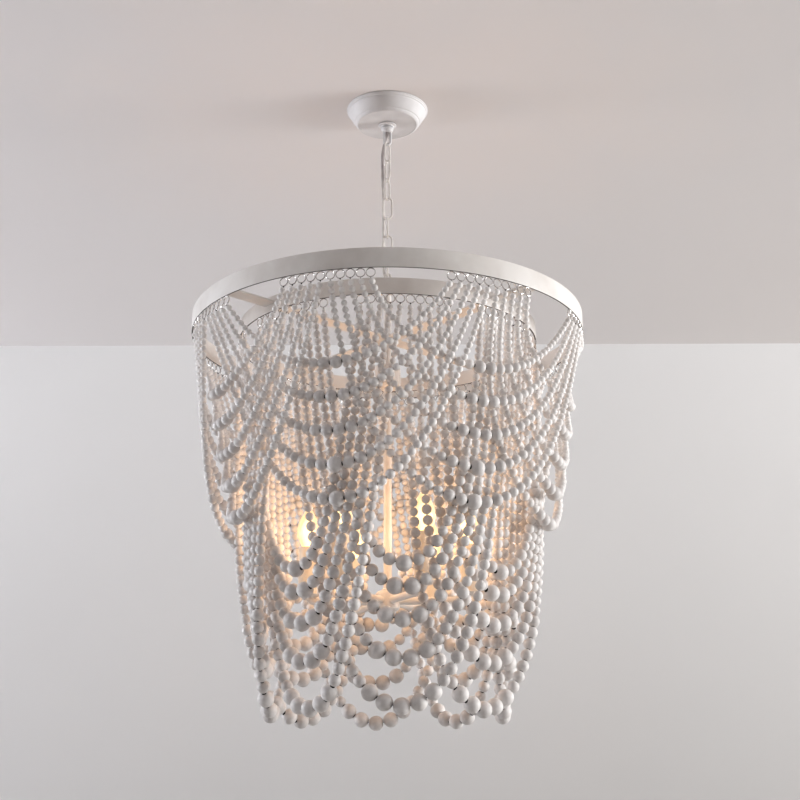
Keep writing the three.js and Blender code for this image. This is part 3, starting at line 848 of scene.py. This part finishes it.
def make_sleeve(number):
    """A candle sleeve, a plain tube with soft ends."""
    right, back, _ = lamp_place(number)
    low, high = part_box(f"candle_sleeve_{number}")
    inner = SLEEVE_RADIUS - SLEEVE_WALL
    outline = [(SLEEVE_RADIUS, low.z), (SLEEVE_RADIUS, high.z), (inner, high.z), (inner, low.z)]
    tube = moved(turned(softened(outline, 0.6 * MM), 56), right, back)
    piece = new_piece(f"candle_sleeve_{number}_tube", *tube, SLEEVE)
    dress(piece, "fixture_body", "candle_sleeve", f"candle_sleeve_{number}")


def make_bulb(number):
    """A candle bulb with its screw cap, and the light in it."""
    right, back, _ = lamp_place(number)
    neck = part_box(f"candle_sleeve_{number}")[1].z - BULB_SUNK
    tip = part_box(f"bulb_{number}")[1].z
    tall = tip - neck
    glass_outline = [
        (0, neck),
        (8 * MM, neck),
        (9.4 * MM, neck + 0.06 * tall),
        (14.4 * MM, neck + 0.2 * tall),
        (BULB_RADIUS, neck + 0.38 * tall),
        (16 * MM, neck + 0.56 * tall),
        (10.5 * MM, neck + 0.75 * tall),
        (4.8 * MM, neck + 0.9 * tall),
        (1.6 * MM, neck + 0.98 * tall),
        (0, tip),
    ]
    glass = lathed(glass_outline, 6 * MM, 40, 5)
    bulb = new_piece(f"bulb_{number}_glass", *moved(glass, right, back), BULB_GLASS)
    bulb.visible_shadow = False
    dress(bulb, "fixture_body", "lit_bulb", f"bulb_{number}")
    cap_end = neck - BULB_CAP_HEIGHT
    cap_outline = [(0, cap_end), (BULB_CAP_RADIUS, cap_end), (BULB_CAP_RADIUS, neck), (0, neck)]
    cap = lathed(cap_outline, 0.5 * MM, 40)
    cap_piece = new_piece(f"bulb_{number}_cap", *moved(cap, right, back), BULB_CAP)
    dress(cap_piece, "fixture_body", "zinc_steel", f"bulb_{number}")
    bulb_light(number, (right, back, neck + 0.4 * tall))


def bulb_light(number, place):
    """The warm light of one bulb."""
    data = bpy.data.lights.new(f"bulb_light_{number}", "POINT")
    data.energy = BULB_POWER
    data.color = linear("#FFC48C")[:3]
    data.shadow_soft_size = FILAMENT_SIZE
    light = bpy.data.objects.new(f"bulb_light_{number}", data)
    light.location = place
    bpy.context.scene.collection.objects.link(light)
    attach(light, "fixture_body")


# Swags of beads

RING_DIAMETER = 13.8 * MM
RING_WIRE_SIZE = 1.6 * MM
RINGS_IN_ROW = 5
SWAG_COUNT = 8
# Beads from the middle of a strand outwards: how wide, and how many on each side in each of the five
# strands. Half a bead is one that both sides share. The rest of a strand is small beads.
OUTER_BEADS = [
    (22 * MM, (0, 0, 0, 0.5, 0.5)),
    (17.3 * MM, (1, 1.5, 2, 2, 2)),
    (14 * MM, (3, 3, 3, 4, 5)),
    (11.9 * MM, (1, 2, 3, 4, 5)),
    (10.4 * MM, (5, 5, 5, 5, 5)),
]
INNER_BEADS = [
    (23.5 * MM, (0.5, 1, 1.5, 2, 2.5)),
    (17.3 * MM, (3, 3, 4, 5, 7)),
    (14.5 * MM, (8, 8, 8, 8, 8)),
    (12.4 * MM, (8, 8, 8, 8, 8)),
    (10.5 * MM, (10, 10, 10, 10, 10)),
]
SMALL_BEAD = 9.1 * MM
WIDEST_SMALL_BEAD = 1.03 * SMALL_BEAD
BEAD_GAP = 0.05 * MM
# The bare cord between a strand's last bead and its ring
BARE_CORD = 1 * MM
CORD_RADIUS = 0.5 * MM
# The share of the strands' ends that show a knot
KNOT_SHARE = 0.4
BEAD_SEED = 12

# How each tier hangs, in shares of its hoop's diameter: the first strand's value and the step to each next
# one. The sag's third value is how much that step grows from strand to strand.
OUTER_SWAGS = {
    "hoop": "outer_hoop",
    "beads": OUTER_BEADS,
    "first_turn": math.radians(-15.7),
    "sag": (0.1817, 0.0742, 0),
    "middle": (0.0418, -0.0005),
    "cross": (0.0138, 0.00492),
    "waist": (-0.0075, -0.00133),
}
INNER_SWAGS = {
    "hoop": "inner_hoop",
    "beads": INNER_BEADS,
    "first_turn": math.radians(6.8),
    "sag": (0.7795, 0.0677, 0.0218),
    "middle": (0.0015, -0.0001),
    "cross": (0.0205, 0.0082),
    "waist": (0.0014, -0.0006),
}


STRAND_POINTS = 1601
# The cord's mesh takes one of so many of a strand's points
CORD_STEP = 10


def chain_number(ratio):
    """The number that gives a hanging chain its ratio of sag to half the span, found by halving."""
    low = 0.001
    high = 10
    halvings = 50
    for _ in range(halvings):
        middle = (low + high) / 2
        if (math.cosh(middle) - 1) / middle < ratio:
            low = middle
        else:
            high = middle
    return low


def ring_circle(swags):
    """The radius of the circle on which a tier's rings hang, in the middle of the hoop's wall."""
    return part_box(swags["hoop"])[1].x - HOOP_WALL / 2


def ring_angle(swags, index):
    """The angle from the middle of a swag to each of the two rings of one strand."""
    circle = ring_circle(swags)
    pitch = RING_DIAMETER / circle
    return FULL_TURN / SWAG_COUNT - (RINGS_IN_ROW - index - 0.5) * pitch - TOUCHING / 2 / circle


def hanging_strand(swags, index):
    """Points along one strand, from its left ring to its right one. It hangs as a chain does, and leans out
    in the middle, across from side to side, and at its waist. The factors 27 / 4 and 4 bring the highest
    value of their curves to 1."""
    low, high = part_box(swags["hoop"])
    hoop_width = 2 * high.x
    circle = ring_circle(swags)
    half_angle = ring_angle(swags, index)
    half_span = circle * math.sin(half_angle)
    first, step, growth = swags["sag"]
    sag = hoop_width * (first + step * index + growth * index * (index - 1) / 2)
    number = chain_number(sag / half_span)
    middle, cross, waist = (hoop_width * (swags[key][0] + swags[key][1] * index)
                            for key in ("middle", "cross", "waist"))
    along = np.linspace(-1, 1, STRAND_POINTS)
    across = np.arcsinh(along * math.sinh(number)) / number
    out = np.abs(across)
    inside = 1 - out ** 2
    lean = middle * inside ** 2 + cross * 27 / 4 * np.sign(across) * out ** 2 * (1 - out)
    lean = lean + waist * 4 * out ** 2 * inside
    start = low.z - TOUCHING - RING_DIAMETER
    drop = sag * (math.cosh(number) - np.cosh(number * across)) / (math.cosh(number) - 1)
    back = -(circle * math.cos(half_angle) + lean)
    return np.stack([half_span * across, back, start - drop], axis=1)


def bead_row(beads, index, length):
    """Distances from the middle and diameters of the beads on one side of a strand, which has this length.
    A shared bead is at zero."""
    row = []
    edge = 0.0
    for diameter, each in beads:
        if each[index] % 1:
            row.append((0.0, diameter))
            edge = (diameter + BEAD_GAP) / 2
        for _ in range(int(each[index])):
            row.append((edge + (diameter + BEAD_GAP) / 2, diameter))
            edge += diameter + BEAD_GAP
    room = length - edge - BARE_CORD
    count = round(room / SMALL_BEAD)
    pitch = room / count
    row.extend((edge + (k + 0.5) * pitch, min(pitch, WIDEST_SMALL_BEAD)) for k in range(count))
    return row


def point_at(points, lengths, distance):
    """The place at a distance along a strand, from the distances of its points."""
    return np.array([np.interp(distance, lengths, points[:, axis]) for axis in range(3)])


def beads_of(swags):
    """All beads of one swag: where each is, which way its hole runs, and how wide it is."""
    places = []
    for index in range(RINGS_IN_ROW):
        points = hanging_strand(swags, index)
        steps = np.linalg.norm(np.diff(points, axis=0), axis=1)
        lengths = np.concatenate([[0], np.cumsum(steps)])
        middle = np.interp(0, points[:, 0], lengths)
        for side, room in ((-1, middle), (1, lengths[-1] - middle)):
            for distance, diameter in bead_row(swags["beads"], index, room):
                if side > 0 and distance == 0:
                    continue
                at = middle + side * distance
                before = point_at(points, lengths, at - diameter / 2)
                way = point_at(points, lengths, at + diameter / 2) - before
                places.append((point_at(points, lengths, at), way / np.linalg.norm(way), diameter))
    return places


def drilled_bead(sides, rows, hole, flat):
    """A ball of diameter 1 with a hole along z and a flat round each end of it, as points, quads and which
    points are inside the hole. The hole and the flats are given by their radii."""
    edge = math.asin(2 * flat)
    rim = 0.5 * math.cos(edge)
    angles = np.linspace(edge, math.pi - edge, rows)
    narrow = 0.98 * hole
    deep = 0.94 * rim
    hole_points = [(narrow, deep), (narrow, -deep)]
    ball_points = [(0.5 * math.sin(a), -0.5 * math.cos(a)) for a in angles]
    outline = [*hole_points, (hole, -rim), *ball_points, (hole, rim)]
    points, faces = turned(outline, sides)
    inside = np.tile([i < len(hole_points) for i in range(len(outline))], sides)
    return np.array(points), np.array(faces), inside


# For each range of bead diameters, a bead with as many sides and rows as show, and the radii of its hole
# and flats as shares of the diameter
BEAD_SHAPES = [
    ((0, 10 * MM), drilled_bead(12, 7, 0.055, 0.065)),
    ((10 * MM, 16 * MM), drilled_bead(16, 9, 0.085, 0.1)),
    ((16 * MM, 30 * MM), drilled_bead(24, 13, 0.145, 0.165)),
]
# The smallest share of its diameter that a bead has after turning and sanding
SMALLEST_SHARE = 0.992
# A bead's tone is random within the first of these, and small beads are lighter by the second. Beads this
# much wider than the small ones are the greyest.
TONE_SPREAD = 0.4
SMALL_BEAD_TONE = 0.6
GREYER_OVER = 8 * MM


def bead_mesh(places, rng):
    """One mesh of all the beads, with a random turn, size and tone for each."""
    points = []
    faces = []
    tones = []
    start = 0
    for (least, most), (shape, quads, inside) in BEAD_SHAPES:
        chosen = [place for place in places if least <= place[2] < most]
        for centre, way, diameter in chosen:
            side = np.cross(way, rng.normal(size=3))
            side /= np.linalg.norm(side)
            other = np.cross(way, side)
            size = diameter * rng.uniform(SMALLEST_SHARE, 1.0)
            points.append(shape @ np.array([side, other, way]) * size + centre)
            faces.append(quads + start)
            smallness = max(0, 1 - (diameter - SMALL_BEAD) / GREYER_OVER)
            tone = rng.uniform(0.0, TONE_SPREAD) + SMALL_BEAD_TONE * smallness
            tones.append(np.where(inside, HOLE_SHADE_TONE, tone))
            start += len(shape)
    return np.vstack(points), np.vstack(faces), np.concatenate(tones)


def ring_at(swags, angle):
    """A wire ring that hangs flat under the hoop, facing outwards."""
    circle = ring_circle(swags)
    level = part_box(swags["hoop"])[0].z - RING_DIAMETER / 2
    radius = (RING_DIAMETER - RING_WIRE_SIZE) / 2
    steps = 24
    route = []
    for step in range(steps):
        round_ring = FULL_TURN * step / steps
        way = angle + radius * math.cos(round_ring) / circle
        height = level + radius * math.sin(round_ring)
        route.append((circle * math.sin(way), -circle * math.cos(way), height))
    return swept(route, RING_WIRE_SIZE / 2, 8, closed=True)


def knot_at(end):
    """The knot that ties a strand to its ring, a small lump under the ring."""
    outline = [
        (0.2 * MM, 1.2 * MM),
        (0.9 * MM, 0.8 * MM),
        (1.25 * MM, 0),
        (0.9 * MM, -0.8 * MM),
        (0.2 * MM, -1.2 * MM),
    ]
    lump = lathed(outline, 0.4 * MM, 10, 2)
    right, back, level = end
    return moved(lump, right, back, level + 0.4 * MM)


def make_swag(label, swags, k, rng):
    """One swag of five strands: its beads, their cords with the knots, and the rings they hang from."""
    node = f"{label}_swag_{k + 1}"
    turn = swags["first_turn"] + k * FULL_TURN / SWAG_COUNT
    c = math.cos(turn)
    s = math.sin(turn)
    spin = np.array([[c, s, 0], [-s, c, 0], [0, 0, 1]])

    points, quads, tones = bead_mesh(beads_of(swags), rng)
    beads = new_piece(f"{node}_beads", points @ spin, quads, BEAD_WOOD)
    tone = beads.data.attributes.new("bead_tone", "FLOAT", "POINT")
    tone.data.foreach_set("value", tones.astype(np.float32))
    dress(beads, "fixture_body", "wooden_beads", node)

    cords = []
    rings = []
    knots = []
    for index in range(RINGS_IN_ROW):
        strand = hanging_strand(swags, index)
        cords.append(swept(strand[::CORD_STEP], CORD_RADIUS, 6))
        for side, end in ((-1, strand[0]), (1, strand[-1])):
            rings.append(ring_at(swags, side * ring_angle(swags, index)))
            if rng.uniform() < KNOT_SHARE:
                knots.append(knot_at(end))
    cord_points, cord_faces = joined(cords + knots)
    cord = new_piece(f"{node}_cord", np.array(cord_points) @ spin, cord_faces, BEAD_CORD)
    dress(cord, "fixture_body", "wooden_beads", node)
    ring_points, ring_faces = joined(rings)
    ring_piece = new_piece(f"{node}_rings", np.array(ring_points) @ spin, ring_faces, RING_WIRE)
    dress(ring_piece, "fixture_body", "zinc_steel", node)


def make_swags():
    """Both tiers of swags, with the same random turns, sizes, tones and knots in every run."""
    rng = np.random.default_rng(BEAD_SEED)
    for label, swags in (("outer", OUTER_SWAGS), ("inner", INNER_SWAGS)):
        for k in range(SWAG_COUNT):
            make_swag(label, swags, k, rng)


def dress_hidden_steel():
    """The bracket and its threaded tube keep their CAD shape and get their real finish."""
    for node in ("ceiling_strap", "threaded_nipple"):
        for slot in frame["nodes"][node].material_slots:
            slot.material = ZINC


# Room and light

WALL_PLACE = 1.155
FLOOR_LEVEL = -2.35
CEILING_LEVEL = 0.5 * MM
CEILING_BOX_RADIUS = 50 * MM
ROOM_HALF_WIDTH = 9
ROOM_NEAR = -3.2
# The two windows look at this point in the middle of the light
LIT_PLACE = (0, 0, -0.55)


def room_plaster(name, light, dark, fade, start, end):
    """Matt emulsion on plaster, clouded a little. It fades from light to dark along a direction, between two
    distances in metres; on the ceiling and the wall this is painted light and shade. Its back lets the view
    through, so that the light shows from above and behind."""
    material, tree, shader = new_finish(name, Roughness=0.9, Specular_IOR_Level=0.1)
    place = place_of(tree)
    along = add_node(tree, "ShaderNodeVectorMath", {0: place}, operation="DOT_PRODUCT")
    along.inputs[1].default_value = fade
    clouds = add_node(tree, "ShaderNodeTexNoise", {"Vector": place}, Scale=1.1, Detail=2.0)
    sources = {0: clouds.outputs["Fac"], 2: along.outputs["Value"]}
    clouded = add_node(tree, "ShaderNodeMath", sources, operation="MULTIPLY_ADD")
    cloud_share = clouded.inputs[1]
    cloud_share.default_value = 0.3
    coloured(tree, shader, ranged(tree, clouded.outputs["Value"], start, end, 0.0, 1.0), light, dark)
    behind = add_node(tree, "ShaderNodeNewGeometry").outputs["Backfacing"]
    clear = add_node(tree, "ShaderNodeBsdfTransparent").outputs["BSDF"]
    mix = add_node(tree, "ShaderNodeMixShader", {0: behind, 1: shader.outputs["BSDF"], 2: clear})
    tree.links.new(mix.outputs["Shader"], tree.nodes["Material Output"].inputs["Surface"])
    return material


def stage_sheet(name, points, faces, material):
    """One flat side of the room."""
    new_piece(name, points, faces, material, smooth=False)


def across_room(first, second):
    """Corners of a sheet as wide as the room, between two edges given by how far back and how high."""
    wide = ROOM_HALF_WIDTH
    return [(-wide, *first), (wide, *first), (wide, *second), (-wide, *second)]


def ceiling_with_box():
    """The ceiling sheet with a round hole over the canopy, where its electrical box is."""
    points = across_room((WALL_PLACE, CEILING_LEVEL), (ROOM_NEAR, CEILING_LEVEL))
    radius = CEILING_BOX_RADIUS
    quarter_steps = 8
    steps = 4 * quarter_steps
    for k in range(steps):
        angle = 0.75 * math.pi - FULL_TURN * k / steps
        points.append((radius * math.cos(angle), radius * math.sin(angle), CEILING_LEVEL))
    faces = []
    for quarter in range(4):
        arc = [4 + (quarter * quarter_steps + k) % steps for k in range(quarter_steps, -1, -1)]
        faces.append((quarter, (quarter + 1) % 4, *arc))
    return points, faces


def make_room():
    """Ceiling, wall and floor."""
    # The darker parts of the ceiling and the wall are painted shade.
    ceiling = room_plaster("ceiling_plaster", "#FAF7F9", "#DAD5D3", (1, 0.45, 0), -1.4, 1.8)
    wall = room_plaster("wall_plaster", "#FDFDFE", "#A6A3A1", (0.42, 0, -0.9), -0.1, 2.3)
    floor = room_plaster("pale_floor", "#B2AFAB", "#AAA6A2", (1, 0, 0), -1.0, 1.0)
    stage_sheet("ceiling", *ceiling_with_box(), ceiling)
    wall_foot = (WALL_PLACE, FLOOR_LEVEL)
    one_face = [(0, 1, 2, 3)]
    stage_sheet("wall", across_room(wall_foot, (WALL_PLACE, CEILING_LEVEL)), one_face, wall)
    stage_sheet("floor", across_room((ROOM_NEAR, FLOOR_LEVEL), wall_foot), one_face, floor)


def window(name, place, width, height, power, code):
    """A soft light like a window's, turned to the middle of the light."""
    data = bpy.data.lights.new(name, "AREA")
    data.shape = "RECTANGLE"
    data.size = width
    data.size_y = height
    data.energy = power
    data.color = linear(code)[:3]
    light = bpy.data.objects.new(name, data)
    light.location = place
    light.rotation_euler = (Vector(LIT_PLACE) - Vector(place)).to_track_quat("-Z", "Y").to_euler()
    bpy.context.scene.collection.objects.link(light)


def make_light():
    """A window on each side, the right one stronger, and even light from the rest of the room."""
    window("window_right", (4.2, -0.2, -0.65), width=1.6, height=1.2, power=166, code="#FEFFFF")
    window("window_left", (-4.2, 0.6, -0.65), width=1.0, height=1.2, power=88, code="#F4F8FF")
    world = bpy.data.worlds.new("room_light")
    world.use_nodes = True
    background = world.node_tree.nodes["Background"]
    background.inputs["Color"].default_value = linear("#E9E6E4")
    background.inputs["Strength"].default_value = 0.24
    bpy.context.scene.world = world


bpy.context.scene.view_settings.view_transform = "Standard"
place_camera()
make_cable()
make_canopy()
make_collar()
make_loops()
make_chain()
make_stem()
make_hoop("outer_hoop", 192)
make_hoop("inner_hoop", 160)
make_spokes()
make_cup()
make_hub()
for number in range(1, LAMP_COUNT + 1):
    make_arm(number)
    make_sleeve(number)
    make_bulb(number)
make_swags()
dress_hidden_steel()
make_room()
make_light()
